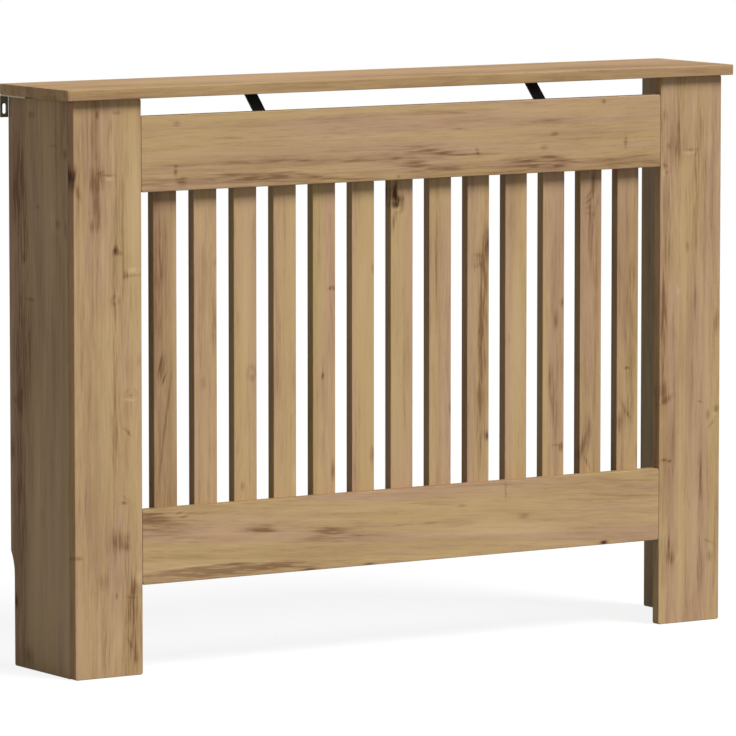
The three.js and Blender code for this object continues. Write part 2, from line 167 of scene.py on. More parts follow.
class Graph:
    """A material's or world's node tree."""

    def __init__(self, owner):
        self.owner = owner
        owner.use_nodes = True
        self.tree = owner.node_tree
        self.tree.nodes.clear()

    def node(self, kind, settings=None, inputs=None, output=0):
        """Adds a node, sets it up, feeds its sockets, and returns one of its outputs."""
        made = self.tree.nodes.new("ShaderNode" + kind)
        for name, value in (settings or {}).items():
            setattr(made, name, value)
        for key, value in (inputs or {}).items():
            if isinstance(value, Signal):
                self.tree.links.new(value.socket, made.inputs[key])
            else:
                made.inputs[key].default_value = value
        return Signal(self, made.outputs[output])

    def mix(self, factor, first, second, blend="MIX"):
        """A colour between two colours, by a factor from 0 to 1."""
        settings = {"data_type": "RGBA", "blend_type": blend, "clamp_factor": True}
        inputs = {MIX_FACTOR: factor, MIX_FIRST: first, MIX_SECOND: second}
        return self.node("Mix", settings, inputs, MIX_RESULT)

    def finish(self, shader, kind="OutputMaterial"):
        """Links the shader to the output and returns the material or world."""
        out = self.tree.nodes.new("ShaderNode" + kind)
        self.tree.links.new(shader.socket, out.inputs["Surface"])
        return self.owner


print("a Graph has", [name for name in vars(Graph) if not name.startswith("_")])


# %% Screen colours
def linear(red, green, blue):
    """A screen colour from 0 to 255 as the linear colour that a shader takes."""
    def one(value):
        value /= 255.0
        return value / 12.92 if value <= 0.04045 else ((value + 0.055) / 1.055) ** 2.4
    return (one(red), one(green), one(blue), 1.0)


def even_grey(level):
    """A linear grey of this level."""
    return (level, level, level, 1.0)


WHITE = even_grey(1.0)
print("white is", linear(255, 255, 255), "middle grey", linear(128, 128, 128))

# %% [markdown]
# ## Light and floor
# The photograph has one soft light, high on the right, that gives the blurred shadow under the
# top. The rest is fill that comes more from the sides than from above, so the left side is about a
# third as bright as the front, and the top isn't much brighter. Large lamps near the cover would
# light its ends unevenly, so a sun lamp with a wide angle gives the blur, and the world gives the
# fill. The world and the floor are white only where the camera looks straight at them or metal
# mirrors them, and the floor still takes a faint shadow.

# %% Sun
SUN_DIRECTION = Vector((0.34, -0.72, 1.02))
SUN_STRENGTH = 3.65
SUN_ANGLE = 26.0

sun_data = bpy.data.lights.new("sun", "SUN")
sun_data.energy = SUN_STRENGTH
sun_data.angle = math.radians(SUN_ANGLE)
sun = bpy.data.objects.new("sun", sun_data)
sun.rotation_euler = SUN_DIRECTION.to_track_quat("Z", "Y").to_euler()
bpy.context.scene.collection.objects.link(sun)
print("sun of strength", SUN_STRENGTH, "blurred over", SUN_ANGLE, "degrees")

# %% World
FILL_LEVEL = 0.43
FILL_ABOVE = 0.06


def seen_mask(graph):
    """1 for rays from the camera, and for rays that show the background in metal or glass."""
    seen = graph.node("LightPath", output="Is Camera Ray")
    shown = seen.output("Is Glossy Ray").largest(seen.output("Is Transmission Ray"))
    return seen.largest(shown)


def make_world():
    """A white world to the eye, whose light falls from the horizon to the zenith."""
    world = bpy.data.worlds.new("white studio")
    graph = Graph(world)
    direction = graph.node("TexCoord", output="Generated")
    up = graph.node("SeparateXYZ", None, {0: direction}, output="Z").largest(0.0)
    fill = up * (FILL_ABOVE - FILL_LEVEL) + FILL_LEVEL
    strength = seen_mask(graph) * (1.0 - fill) + fill
    shader = graph.node("Background", None, {"Color": WHITE, "Strength": strength})
    graph.finish(shader, "OutputWorld")
    bpy.context.scene.world = world


make_world()
print("fill", FILL_LEVEL, "falling to", FILL_ABOVE, "above")

# %% Floor
FLOOR_RADIUS = 6.0
FLOOR_SIDES = 64
FLOOR_DROP = 0.2
FLOOR_GREY = 0.28
FLOOR_GLOW = 0.87
SHADOW_GREY = 0.14


def make_floor():
    """A round floor at the height of the feet: white to the camera, with a faint shadow."""
    made = bmesh.new()
    bmesh.ops.create_circle(made, cap_ends=True, segments=FLOOR_SIDES, radius=FLOOR_RADIUS)
    mesh = bpy.data.meshes.new("floor")
    made.to_mesh(mesh)
    made.free()
    floor = bpy.data.objects.new("floor", mesh)
    floor.location.z = cad_low[2] - FLOOR_DROP * MM
    bpy.context.scene.collection.objects.link(floor)
    floor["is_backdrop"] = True

    graph = Graph(bpy.data.materials.new("white floor"))
    faint = graph.node("BsdfDiffuse", None, {"Color": even_grey(SHADOW_GREY)})
    glow = graph.node("Emission", None, {"Color": WHITE, "Strength": FLOOR_GLOW})
    white = graph.node("AddShader", None, {0: glow, 1: faint})
    plain = graph.node("BsdfDiffuse", None, {"Color": even_grey(FLOOR_GREY)})
    seen = graph.node("MixShader", None, {0: seen_mask(graph), 1: plain, 2: white})
    clear = graph.node("BsdfTransparent")
    under = graph.node("NewGeometry", output="Backfacing")
    shader = graph.node("MixShader", None, {0: under, 1: seen, 2: clear})
    mesh.materials.append(graph.finish(shader))


make_floor()
print("floor", FLOOR_DROP, "mm under the feet, seen from above only")

# %% [markdown]
# ## Oak decor
# The boards are thin wood-fibre panels in a printed, lightly embossed oak foil. A photo texture
# would be the quick way, but it repeats and it carries its own light. Here the figure is built up
# from noises that are stretched along each board, as growth layers are stretched along a plank.
# They feed four layers: how rosy the wood is, how dark, how light, and where bark-brown shows.
# Everything reads Object coordinates, so the figure stays fixed to the board at its real size.

# %% Colours of the oak
HONEY = linear(187, 158, 112)
ROSE = linear(184, 151, 119)
UMBER = linear(124, 91, 63)
BARK = linear(58, 33, 16)
CREAM = linear(206, 176, 135)
print("oak from cream", [round(v, 3) for v in CREAM], "to bark", [round(v, 3) for v in BARK])

# %% The grain's own coordinates
# A turbulence of this many features a metre pushes the marks about by this many mm.
CHURN_ALONG = 34.0
CHURN_ACROSS = 66.0
CHURN_REACH = Vector((6.0, 4.0, 0.0))
# Lines of grain bend round a knot, over this many times its size and by this share.
KNOT_REACH = 2.6
KNOT_PUSH = 0.8


class Grain:
    """Where a point lies in a board: along, across and through its grain, in metres."""

    def __init__(self, graph, along_axis, across_axis, shift, slope=0.0):
        place = graph.node("TexCoord", output="Object")
        split = graph.node("SeparateXYZ", None, {0: place})
        through_axis = ({"X", "Y", "Z"} - {along_axis, across_axis}).pop()
        self.graph = graph
        self.along = split.output(along_axis)
        self.across = split.output(across_axis)
        self.through = split.output(through_axis)
        self.line = self.across + self.along * slope + shift
        self.face = self.churned_face()
        turn = {0: self.face, 1: (0.0, 0.0, 1.0)}
        self.face_turned = graph.node("VectorMath", {"operation": "CROSS_PRODUCT"}, turn)

    def noise(self, long, wide, detail=2.0, roughness=0.55):
        """Noise with this many features a metre along and across the grain."""
        parts = {"X": self.along * long, "Y": self.line * wide, "Z": self.through * wide}
        place = self.graph.node("CombineXYZ", None, parts)
        inputs = {"Vector": place, "Scale": 1.0, "Detail": detail, "Roughness": roughness}
        return self.graph.node("TexNoise", None, inputs, output="Fac")

    def churned_face(self):
        """The point on the board's face in mm, pushed about by a fine turbulence."""
        across, through = self.across * CHURN_ACROSS, self.through * CHURN_ACROSS
        parts = {"X": self.along * CHURN_ALONG, "Y": across, "Z": through}
        place = self.graph.node("CombineXYZ", None, parts)
        inputs = {"Vector": place, "Scale": 1.0, "Detail": 2.0}
        push = self.graph.node("TexNoise", None, inputs, output="Color")
        middled = {
            "X": self.along * (1.0 / MM) - CHURN_REACH.x / 2,
            "Y": self.across * (1.0 / MM) - CHURN_REACH.y / 2,
        }
        return self.added(push, CHURN_REACH, self.graph.node("CombineXYZ", None, middled))

    def apart(self, mark, grow=1.0):
        """0 in the middle of a mark, 1 on its outline, which is a turned and stretched circle."""
        tilt = math.radians(mark.tilt)
        scale = Vector((1.0 / (mark.length * grow), 1.0 / (mark.width * grow), 0.0))
        centre = Vector((mark.along, mark.across, 0.0))
        middle = centre * math.cos(tilt) + Vector((centre.y, -centre.x, 0.0)) * math.sin(tilt)
        local = self.added(self.face, scale * math.cos(tilt), middle * scale * -1.0)
        if tilt:
            local = self.added(self.face_turned, scale * math.sin(tilt), local)
        return self.graph.node("VectorMath", {"operation": "LENGTH"}, {0: local}, "Value")

    def added(self, vector, factor, other):
        """The vector times a constant one, plus another."""
        other = other if isinstance(other, Signal) else tuple(other)
        inputs = {0: vector, 1: tuple(factor), 2: other}
        return self.graph.node("VectorMath", {"operation": "MULTIPLY_ADD"}, inputs)

    def swerve(self, marks):
        """Pushes the lines of the grain round the knots."""
        for mark in marks:
            if mark.kind == "knot":
                apart = self.apart(mark, KNOT_REACH)
                reach = (apart * apart * -1.0).exponential()
                self.line = self.line - (self.across - mark.across * MM) * reach * KNOT_PUSH


print("marks are pushed by up to", CHURN_REACH.x / 2, "mm along and", CHURN_REACH.y / 2, "across")

# %% [markdown]
# ## Marks in the oak
# Knots, smears and curls are what one plank is known by, and noise alone would put them anywhere.
# So each is an oval with a kind, a place, a size and a tilt, which can be set down where the real
# board has it. The turbulence pushes its outline about, and fine dashes of the grain break its
# mask up, so none of them is a clean ellipse. Places and sizes are in mm, tilts in degrees.

# %% Kinds of mark
Mark = namedtuple("Mark", "kind along across length width tilt", defaults=[0.0])
# A kind changes one or two layers. For each: the layer, how far from the mark's middle its mask
# starts and is full, where 1 is the outline, and its strength.
KINDS = {
    "veil": [("dark", 1.5, 0.0, 0.17)],
    "shade": [("dark", 1.5, 0.0, 0.36)],
    "vein": [("dark", 2.0, 0.0, 0.34)],
    "smear": [("dark", 1.6, 0.0, 0.62)],
    "line": [("dark", 2.0, 0.0, 0.50)],
    "crack": [("bark", 1.7, 0.2, 0.62)],
    "knot": [("dark", 2.8, 0.6, 0.66), ("bark", 1.6, 0.2, 0.88)],
    "ring": [("dark", 2.0, 1.0, 0.34), ("dark", 0.9, 0.2, -0.26)],
    "blush": [("rosy", 1.5, 0.1, 0.80)],
    "honey": [("rosy", 1.5, 0.1, -0.80)],
    "lift": [("light", 1.5, 0.0, 0.28)],
    "glow": [("light", 1.7, 0.1, 0.50)],
}
print(len(KINDS), "kinds of mark:", ", ".join(KINDS))

# %% [markdown]
# ## The oak recipe
# A decor printer lays a few inks over each other, and this recipe does the same. The layers say
# where each colour goes, the marks are added to them, and faces that carry another edging, or that
# take painted shade or painted light, are tinted last. The same layers drive the gloss and the
# embossing, because on the real foil the pores and dark streaks are pressed in and duller.

# %% Noises of the figure
# Features a metre along and across the grain, then detail and roughness.
WANDER = (1.7, 9.0, 1.0)
WANDER_REACH = 0.012
FIGURE = {
    "bands": (0.9, 26.0),
    "broad": (3.0, 17.0, 2.0, 0.5),
    "columns": (2.0, 50.0, 2.0, 0.5),
    "streaks": (7.0, 140.0, 3.0, 0.6),
    "dashes": (22.0, 320.0),
    "fibres": (34.0, 900.0, 2.0, 0.6),
    "pores": (70.0, 1500.0, 1.0, 0.5),
}
# For each noise: the values at which its mask starts and is full, and its strength.
DARK_FIGURE = [
    ("columns", 0.48, 0.74, 0.28),
    ("streaks", 0.48, 0.76, 0.36),
    ("broad", 0.50, 0.72, 0.30),
]
LIGHT_FIGURE = [
    ("columns", 0.50, 0.28, 0.20),
    ("streaks", 0.47, 0.27, 0.24),
    ("broad", 0.50, 0.30, 0.22),
]
DARK_DASHES = [("dashes", 0.48, 0.76, 0.22), ("fibres", 0.45, 0.75, 0.12)]
LIGHT_DASHES = [("dashes", 0.46, 0.26, 0.16)]
# Where the other masks start and are full. The last also has its lowest and highest value.
ROSY_STEP = (0.40, 0.60)
PORE_STEP = (0.60, 0.70)
PORE_STREAK_STEP = (0.35, 0.60)
MARK_WEAVE = (0.34, 0.62, 0.45, 1.2)
PORE_DARKNESS = 0.20
print(len(FIGURE), "noises:", ", ".join(FIGURE))


# %% Layers of one board
def summed(noises, shares):
    """Soft masks of some noises, each times its strength, added up."""
    return sum(noises[name].ramp(start, full) * part for name, start, full, part in shares)


def board_layers(noises, pores, tone, warmth, contrast):
    """The four layers of a board before its marks, each from 0 to about 1."""
    fine = summed(noises, DARK_DASHES) + pores * PORE_DARKNESS
    return {
        "rosy": (noises["bands"] + warmth).ramp(*ROSY_STEP),
        "dark": summed(noises, DARK_FIGURE) * contrast + fine + tone,
        "light": summed(noises, LIGHT_FIGURE) * contrast + summed(noises, LIGHT_DASHES),
        "bark": 0.0,
    }


def add_marks(layers, grain, marks, weave):
    """Lays the masks of each mark on the layers that its kind changes."""
    for mark in marks:
        apart = grain.apart(mark)
        for layer, start, full, strength in KINDS[mark.kind]:
            layers[layer] = layers[layer] + apart.ramp(start, full, 0.0, strength) * weave


def faced(graph, side, start=0.55, full=0.9):
    """1 on faces that point along an axis: "X" means both ways, "-X" only towards minus X."""
    normal = graph.node("TexCoord", output="Normal")
    lean = graph.node("SeparateXYZ", None, {0: normal}, output=side[-1])
    lean = lean * -1.0 if side.startswith("-") else lean.size()
    return lean.ramp(start, full)


print(len(DARK_FIGURE + DARK_DASHES), "masks darken a board and", end=" ")
print(len(LIGHT_FIGURE + LIGHT_DASHES), "lighten it")

# %% The whole recipe
OAK_ROUGHNESS, FIBRE_ROUGHENS, PORE_ROUGHENS = 0.62, 0.10, 0.12
OAK_GLOSS = 0.08
PORE_SINKS, DARK_SINKS, BARK_SINKS, FIBRE_RISES = 0.6, 0.25, 0.5, 0.3
EMBOSSING = {"Distance": 0.12 * MM, "Strength": 0.6}


def oak(name, axes, shift, marks=(), tone=0.0, warmth=0.0, contrast=1.0, slope=0.0, edges=()):
    """The oak decor of one board, whose axes run along and across its grain.

    Shift picks another part of the noise, so that no two boards are alike. Tone darkens the board,
    and warmth turns it from honey to rose. Edges are the faces with a tint of their own, which on
    some boards is painted shade or painted light.
    """
    graph = Graph(bpy.data.materials.new(name))
    along_axis, across_axis = axes
    grain = Grain(graph, along_axis, across_axis, shift, slope)
    grain.line = grain.line + (grain.noise(*WANDER) - 0.5) * WANDER_REACH
    grain.swerve(marks)
    noises = {noise: grain.noise(*size) for noise, size in FIGURE.items()}
    pores = noises["pores"].ramp(*PORE_STEP) * noises["streaks"].ramp(*PORE_STREAK_STEP)
    layers = board_layers(noises, pores, tone, warmth, contrast)
    add_marks(layers, grain, marks, noises["dashes"].ramp(*MARK_WEAVE))

    colour = graph.mix(layers["rosy"], HONEY, ROSE)
    for layer, ink in (("dark", UMBER), ("light", CREAM), ("bark", BARK)):
        colour = graph.mix(layers[layer], colour, ink)
    # Face tints: some are edging, some are painted shade or painted light.
    for side, tint in edges:
        tinted = graph.mix(1.0, colour, tint, "MULTIPLY")
        colour = graph.mix(faced(graph, side), colour, tinted)

    fibres = noises["fibres"]
    rough = OAK_ROUGHNESS + fibres * FIBRE_ROUGHENS + pores * PORE_ROUGHENS
    sunk = pores * PORE_SINKS + layers["dark"] * DARK_SINKS + layers["bark"] * BARK_SINKS
    height = 1.0 - sunk + fibres * FIBRE_RISES
    bump = graph.node("Bump", None, {"Height": height, **EMBOSSING})
    look = {"Base Color": colour, "Roughness": rough, "Specular IOR Level": OAK_GLOSS}
    return graph.finish(graph.node("BsdfPrincipled", None, {**look, "Normal": bump}))


def dress(node_names, material):
    """Gives a finish to CAD nodes, in every one of their material slots."""
    for node_name in node_names:
        for slot in nodes[node_name].material_slots:
            slot.material = material
    count = len(material.node_tree.nodes)
    print(material.name, count, "shader nodes on", len(node_names), "pieces")


print(sum(len(node.material_slots) for node in nodes.values()), "material slots to fill")

# %% [markdown]
# ## Top panel
# The top is one plank-like board whose grain runs from end to end. Its short ends are closed with
# a separate strip of edging, which is darker, and its front edge has its own tone too. Its flat
# faces are darkened with painted shade, so that the high sun doesn't light them much more than the
# front. Three materials would do it, but then the figure breaks at every edge. So one decor is
# tinted by the way that each face points.

# %% Top panel
END_TINT = (0.99, 0.96, 0.89, 1.0)
FRONT_TINT = (0.89, 0.86, 0.84, 1.0)
# Painted shade: darkens the flat faces, up and down, which the high sun would light more than the
# front.
FLAT_SHADE_TINT = (0.87, 0.83, 0.77, 1.0)
TOP_MARKS = [
    Mark("veil", 0, -62, 760, 32),
    Mark("honey", -100, -62, 560, 30),
    Mark("smear", -420, -48, 170, 4),
    Mark("smear", -250, -62, 150, 6),
    Mark("shade", -60, -66, 210, 9),
    Mark("smear", 10, -44, 120, 5),
    Mark("shade", 250, -44, 160, 8),
    Mark("blush", 20, -60, 120, 12),
    Mark("blush", 330, -60, 210, 10),
    Mark("honey", 160, -30, 150, 14),
    Mark("honey", 450, -50, 90, 12),
    Mark("lift", -200, 20, 420, 26),
    Mark("lift", 250, 30, 320, 22),
    Mark("shade", -500, 52, 70, 8),
    Mark("shade", 320, 70, 160, 8),
]
top_edges = [("X", END_TINT), ("Y", FRONT_TINT), ("Z", FLAT_SHADE_TINT)]
top = oak("oak top", "XY", shift=0.31, marks=TOP_MARKS, warmth=0.04, edges=top_edges)
dress(["top_panel"], top)

# %% [markdown]
# ## Legs
# A leg is an upright board in front of a side panel, and its grain runs upwards. The left one
# carries the knots that give the decor its character. A scatter of random knots would be quicker,
# but the eye knows a plank by where they sit, so each is set at its own height and distance. The
# sawn edge that shows on the outside is darker and redder than the face.

# %% Left leg
SIDE_TINT = (1.0, 0.91, 0.86, 1.0)
LEFT_LEG_MARKS = [
    Mark("blush", 742, -528, 60, 11),
    Mark("blush", 745, -499, 70, 9),
    Mark("lift", 750, -499, 50, 6),
    Mark("smear", 760, -487, 13, 3),
    Mark("smear", 779, -507, 6, 2.5),
    Mark("smear", 781, -477, 3, 6),
    Mark("knot", 694, -546.5, 9, 3.4, 12),
    Mark("smear", 678, -541, 16, 5, -20),
    Mark("smear", 690, -511, 15, 13),
    Mark("shade", 655, -508, 62, 11),
    Mark("shade", 645, -507, 20, 7),
    Mark("shade", 626, -511, 9, 12),
    Mark("line", 695, -491, 1.6, 9, 4),
    Mark("line", 699, -502, 1.4, 5, -12),
    Mark("glow", 690.5, -489, 2.6, 5.5),
    Mark("shade", 560, -480, 150, 4.5),
    Mark("shade", 330, -481.5, 130, 5),
    Mark("smear", 335, -481.5, 15, 2.2),
    Mark("veil", 650, -470, 70, 7),
    Mark("knot", 591, -480, 4.2, 2.6),
    Mark("smear", 588, -475, 3.5, 8, 12),
    Mark("lift", 640, -449, 120, 10),
    Mark("honey", 640, -449, 150, 12),
    Mark("smear", 558, -463, 6, 4),
    Mark("line", 555.5, -451, 1.8, 12),
    Mark("glow", 563, -451, 4, 9),
    Mark("ring", 523, -480, 5, 5.5),
    Mark("blush", 590, -500, 110, 13),
    Mark("lift", 600, -498, 70, 7),
    Mark("veil", 665, -496, 150, 44),
    Mark("blush", 640, -500, 150, 24),
    Mark("honey", 620, -449, 170, 10),
    Mark("shade", 510, -515, 60, 6),
    Mark("blush", 455, -463, 95, 14),
    Mark("smear", 438, -443, 9, 4),
    Mark("lift", 340, -504, 160, 20),
    Mark("veil", 420, -490, 150, 60),
    Mark("honey", 340, -508, 200, 24),
    Mark("honey", 330, -538, 380, 9),
    Mark("vein", 396, -463, 5, 1.4, 40),
    Mark("vein", 391, -455, 1.6, 6),
    Mark("vein", 396, -447.5, 5, 1.4, -40),
    Mark("glow", 384.5, -457, 1.8, 9),
    Mark("smear", 340, -461, 2.4, 8.5, 42),
    Mark("smear", 241, -468, 2.6, 6),
    Mark("vein", 248, -465, 1.0, 6, 35),
    Mark("blush", 165, -474, 75, 28),
    Mark("veil", 188, -475, 24, 20),
    Mark("shade", 190, -478, 16, 11),
    Mark("smear", 183, -469, 6, 12, 30),
    Mark("shade", 193, -466, 7, 8),
    Mark("veil", 120, -464, 130, 26),
    Mark("smear", 169, -541, 3, 7),
    Mark("shade", 134, -501, 12, 9),
    Mark("smear", 112.5, -479.5, 4, 2.4),
    Mark("shade", 127, -452, 17, 6),
    Mark("smear", 124, -451, 10, 3.6),
    Mark("glow", 136, -443, 9, 5),
    Mark("vein", 110, -456, 1.2, 10, 8),
    Mark("shade", 62, -452, 60, 11, -5),
    Mark("shade", 90, -452, 40, 9),
    Mark("vein", 42, -455.5, 2.2, 13, 58),
    Mark("shade", 36, -452, 22, 6),
    Mark("shade", 24, -449, 9, 4),
    Mark("lift", 60, -477, 50, 7),
    Mark("shade", 50, -501, 50, 5),
    Mark("honey", 60, -520, 110, 15),
]
left_leg = oak(
    "oak left leg", "ZX", shift=1.7, marks=LEFT_LEG_MARKS,
    tone=0.04, warmth=0.02, contrast=0.85, edges=[("X", SIDE_TINT)],
)
dress(["leg_board_left"], left_leg)

# %% Right leg
RIGHT_LEG_MARKS = [
    Mark("blush", 735, 488, 55, 18),
    Mark("veil", 700, 470, 120, 60),
    Mark("veil", 700, 520, 120, 40),
    Mark("lift", 742, 487, 40, 12),
    Mark("shade", 702, 466, 46, 8.5),
    Mark("shade", 706, 468, 30, 5),
    Mark("shade", 640, 450, 110, 9),
    Mark("shade", 460, 443, 170, 5),
    Mark("smear", 745, 446, 8, 3.5),
    Mark("smear", 700, 451, 5, 3),
    Mark("line", 671, 446, 1.8, 5, 20),
    Mark("line", 661, 449, 1.8, 4, -20),
    Mark("glow", 660, 443, 6, 3),
    Mark("line", 693, 493, 1.3, 9, 3),
    Mark("line", 688.5, 501, 6, 1.4, 28),
    Mark("glow", 688, 487, 1.8, 9),
    Mark("lift", 664, 488, 26, 8),
    Mark("shade", 575, 501, 110, 3),
    Mark("smear", 477, 501, 28, 2.4),
    Mark("shade", 725, 510, 40, 4),
    Mark("shade", 557, 512, 28, 3.5),
    Mark("smear", 552, 487, 7, 3),
    Mark("honey", 590, 478, 32, 9),
    Mark("shade", 545, 455, 45, 8),
    Mark("honey", 545, 455, 60, 10),
    Mark("blush", 488, 470, 14, 5),
    Mark("glow", 488, 470, 8, 3),
    Mark("smear", 458, 445, 45, 6),
    Mark("shade", 430, 461, 24, 3),
    Mark("smear", 440, 540, 16, 5.5),
    Mark("lift", 380, 482, 220, 10),
    Mark("lift", 380, 522, 160, 8),
    Mark("smear", 330, 451, 4.5, 14, -32),
    Mark("shade", 342, 444, 14, 9),
    Mark("line", 322.5, 510.5, 1.4, 4.5, 6),
    Mark("smear", 311, 541, 6, 7),
    Mark("smear", 303, 524.5, 7, 3.6),
    Mark("smear", 289, 531, 2.2, 9, -50),
    Mark("glow", 303, 536, 2.4, 4),
    Mark("crack", 238.5, 456, 1.9, 4.2),
    Mark("line", 241, 446, 2.0, 6),
    Mark("shade", 222, 511, 46, 5),
    Mark("shade", 190, 511, 70, 6),
    Mark("blush", 150, 502, 90, 8),
    Mark("lift", 160, 500, 60, 5),
    Mark("honey", 160, 478, 150, 12),
    Mark("lift", 160, 476, 140, 8),
    Mark("shade", 106, 458, 24, 13, -6),
    Mark("shade", 116, 454, 14, 10, -12),
    Mark("smear", 97, 460, 9, 8),
    Mark("shade", 85, 445, 34, 8),
    Mark("glow", 96, 471, 8, 2.6, 16),
    Mark("vein", 116, 528, 2.0, 8, 24),
    Mark("smear", 95, 529, 8, 5),
    Mark("shade", 78, 512, 50, 5),
    Mark("blush", 50, 530, 60, 12),
]
right_leg = oak("oak right leg", "ZX", shift=2.9, marks=RIGHT_LEG_MARKS, contrast=0.85)
dress(["leg_board_right"], right_leg)

# %% [markdown]
# ## Side panels
# The side panels stand behind the legs and reach back to the wall, so their across direction is Y.
# The left one shows its outside: dark wood runs up its rear half, and its front half is plainer.
# The right one only shows some of its inside, which lies in shade, and a cool tint on its faces
# that point left paints the colour of that shade. Each face could have its own decor, but so little
# of the inside shows that a tint on the faces that point left will do.

# %% Side panels
LEFT_SIDE_MARKS = [
    Mark("veil", 420, 78, 620, 44),
    Mark("veil", 720, 0, 170, 90),
    Mark("lift", 110, 0, 170, 90),
    Mark("lift", 400, -12, 520, 44),
    Mark("smear", 775, 30, 4.5, 10),
    Mark("smear", 725, -61, 7, 6),
    Mark("line", 735, -30, 1.8, 8),
    Mark("smear", 628, -41, 6, 9),
    Mark("glow", 632, -29, 18, 7),
    Mark("smear", 620, -62, 14, 4),
    Mark("line", 648, 14, 3, 3.5),
    Mark("smear", 575, 52, 8, 6),
    Mark("shade", 700, 62, 75, 16),
    Mark("smear", 655, 64, 42, 20),
    Mark("smear", 600, 55, 34, 12),
    Mark("shade", 520, 62, 60, 16),
    Mark("shade", 440, 58, 60, 26),
    Mark("smear", 518, 36, 3, 13),
    Mark("shade", 480, 38, 70, 9),
    Mark("shade", 480, -25, 60, 6),
    Mark("shade", 480, -1, 45, 7),
    Mark("shade", 560, 2, 70, 8),
    Mark("smear", 385, 64, 6, 7),
    Mark("smear", 374, 76, 6, 8),
    Mark("smear", 368, 66, 14, 8),
    Mark("shade", 300, 66, 130, 16),
    Mark("smear", 305, 88, 16, 7),
    Mark("smear", 250, 66, 18, 9),
    Mark("shade", 190, 66, 80, 18),
    Mark("shade", 215, 5, 16, 6),
    Mark("shade", 290, -24, 40, 6),
    Mark("blush", 450, 88, 420, 8),
    Mark("blush", 400, -74, 420, 6),
    Mark("lift", 600, -15, 160, 18),
    Mark("lift", 300, -38, 120, 10),
    Mark("lift", 290, 16, 120, 12),
    Mark("honey", 40, 0, 60, 40),
    Mark("knot", 91, 79.5, 7, 3.4),
    Mark("shade", 120, 62, 90, 18),
    Mark("smear", 18, 44, 14, 14),
    Mark("smear", 336, -75, 14, 5),
]
OUTER_TINT = (0.99, 0.995, 1.06, 1.0)
# Painted shade: the cool colour of the shade on the inside of the right panel.
INNER_SHADE_TINT = (0.93, 1.05, 1.26, 1.0)
left_side = oak(
    "oak left side", "ZY", shift=4.3, marks=LEFT_SIDE_MARKS,
    tone=-0.04, warmth=0.01, contrast=0.8, edges=[("-X", OUTER_TINT)],
)
right_side = oak(
    "oak right side", "ZY", shift=8.1,
    tone=-0.02, warmth=-0.02, contrast=0.8, edges=[("-X", INNER_SHADE_TINT)],
)
dress(["side_panel_left"], left_side)
dress(["side_panel_right"], right_side)

# %% [markdown]
# ## Rails
# The rails tie the legs together. Their grain runs level, so X is the grain and Z runs across it.
# Their cut ends are dark, which draws the joints as thin lines. A modelled gap would do that too,
# but the real boards touch. Their top and bottom faces are darkened with painted shade, so that the
# sun draws no bright line along them. The lower rail's grain falls a little towards the right.

# %% Upper rail
CUT_TINT = (0.42, 0.34, 0.28, 1.0)
# Painted shade: darkens the rails' top and bottom faces, where the sun would draw a bright line.
RAIL_FLAT_SHADE_TINT = (0.74, 0.72, 0.70, 1.0)
RAIL_EDGES = [("X", CUT_TINT), ("Z", RAIL_FLAT_SHADE_TINT)]
UPPER_MARKS = [
    Mark("veil", 0, 674, 520, 12),
    Mark("smear", -381, 762, 6, 3.2),
    Mark("smear", -382, 697, 3.5, 9),
    Mark("smear", -372, 683, 9, 7),
    Mark("vein", -300, 705, 110, 2.0, -0.2),
    Mark("vein", -150, 702.5, 70, 2.0, -1.5),
    Mark("shade", -70, 699, 60, 2.6, -1.5),
    Mark("vein", -330, 688, 120, 1.8, 0.6),
    Mark("vein", -175, 684, 45, 2.0, -9),
    Mark("vein", -105, 675.5, 45, 2.0, -4),
    Mark("smear", -245, 684, 75, 6.5, -1),
    Mark("veil", -370, 681, 110, 8),
    Mark("veil", -230, 676, 120, 8, -2),
    Mark("blush", -300, 682, 170, 10),
    Mark("blush", 15, 700, 90, 26),
    Mark("shade", 15, 706, 70, 14),
    Mark("shade", 45, 709, 36, 4.2, -5),
    Mark("shade", 75, 703, 50, 3.4, -4),
    Mark("vein", 135, 700.5, 60, 1.3, -1),
    Mark("smear", -18, 700, 13, 2.4),
    Mark("smear", 15, 690, 30, 8, -8),
    Mark("shade", 60, 683, 60, 6),
    Mark("smear", 118, 705, 3, 7, 20),
    Mark("shade", 203, 689, 36, 5.4, 3),
    Mark("smear", 255, 690, 26, 3.4, -8),
    Mark("shade", 225, 684, 70, 12),
    Mark("blush", 225, 683, 90, 12),
    Mark("smear", 210, 680, 12, 3),
    Mark("smear", 262, 679, 12, 3),
    Mark("vein", 330, 684, 50, 1.6, 1.5),
    Mark("vein", 400, 688, 40, 1.5, 5),
    Mark("shade", 380, 677, 60, 6),
    Mark("crack", -15, 674, 3.4, 2.6),
    Mark("line", 82, 738, 12, 1.3, -2),
    Mark("line", -135, 735, 6, 1.3),
    Mark("vein", -300, 739, 28, 0.9),
    Mark("vein", -215, 738, 22, 0.9),
    Mark("smear", 250, 725, 7, 3.6),
    Mark("smear", 233, 706, 7, 4),
    Mark("smear", 375.5, 709, 3.2, 9, 2),
    Mark("smear", 337, 768, 4, 4),
    Mark("shade", 60, 763, 90, 5),
    Mark("shade", 240, 743, 60, 5),
    Mark("honey", -330, 745, 160, 22),
    Mark("honey", 60, 767, 110, 8),
    Mark("honey", 330, 760, 110, 12),
    Mark("lift", -330, 722, 150, 10),
    Mark("lift", 120, 722, 80, 8),
]
upper = oak(
    "oak upper rail", "XZ", shift=0.9, marks=UPPER_MARKS,
    tone=0.02, contrast=0.65, edges=RAIL_EDGES,
)
dress(["upper_rail"], upper)

